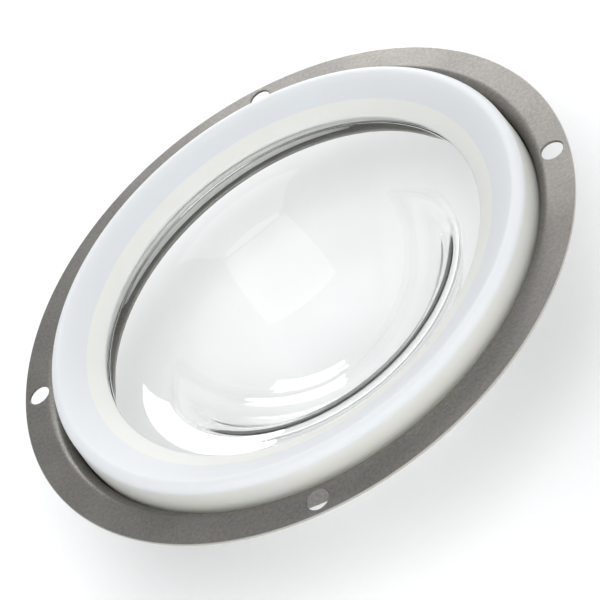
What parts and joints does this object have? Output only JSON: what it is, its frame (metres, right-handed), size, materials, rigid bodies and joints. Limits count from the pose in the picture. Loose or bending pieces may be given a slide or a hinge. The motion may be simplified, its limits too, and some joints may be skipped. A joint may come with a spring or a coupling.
{
  "type": "lamp glass set",
  "caption": "Round lamp cover of a clear glass bowl gripped in a white flared-lip seal, set in a pressed steel ring that screws to a wall",
  "frame": {"origin": "centre of the flange's wall-side face, on the ring's axis", "axes": "+Z runs along the ring's axis to the wall, on the side where the seal's lip stands proud, and the bowl bulges to -Z; +X and +Y run through the centres of two neighbouring screw holes"},
  "size_m": [0.122, 0.122, 0.0316],
  "materials": {
    "steel": "satin, tumbled",
    "silicone": "smooth matt, slightly translucent",
    "glass": "clear, polished"
  },
  "bodies": {
    "ring": {"mounting_frame": "steel"},
    "glass_and_seal": {"seal": "silicone", "lamp_glass": "glass"}
  },
  "joints": [
    {"name": "seal_lift", "type": "slide", "parent": "ring", "child": "glass_and_seal", "axis": [0, 0, 1], "range_m": [0, 0.012]}
  ]
}
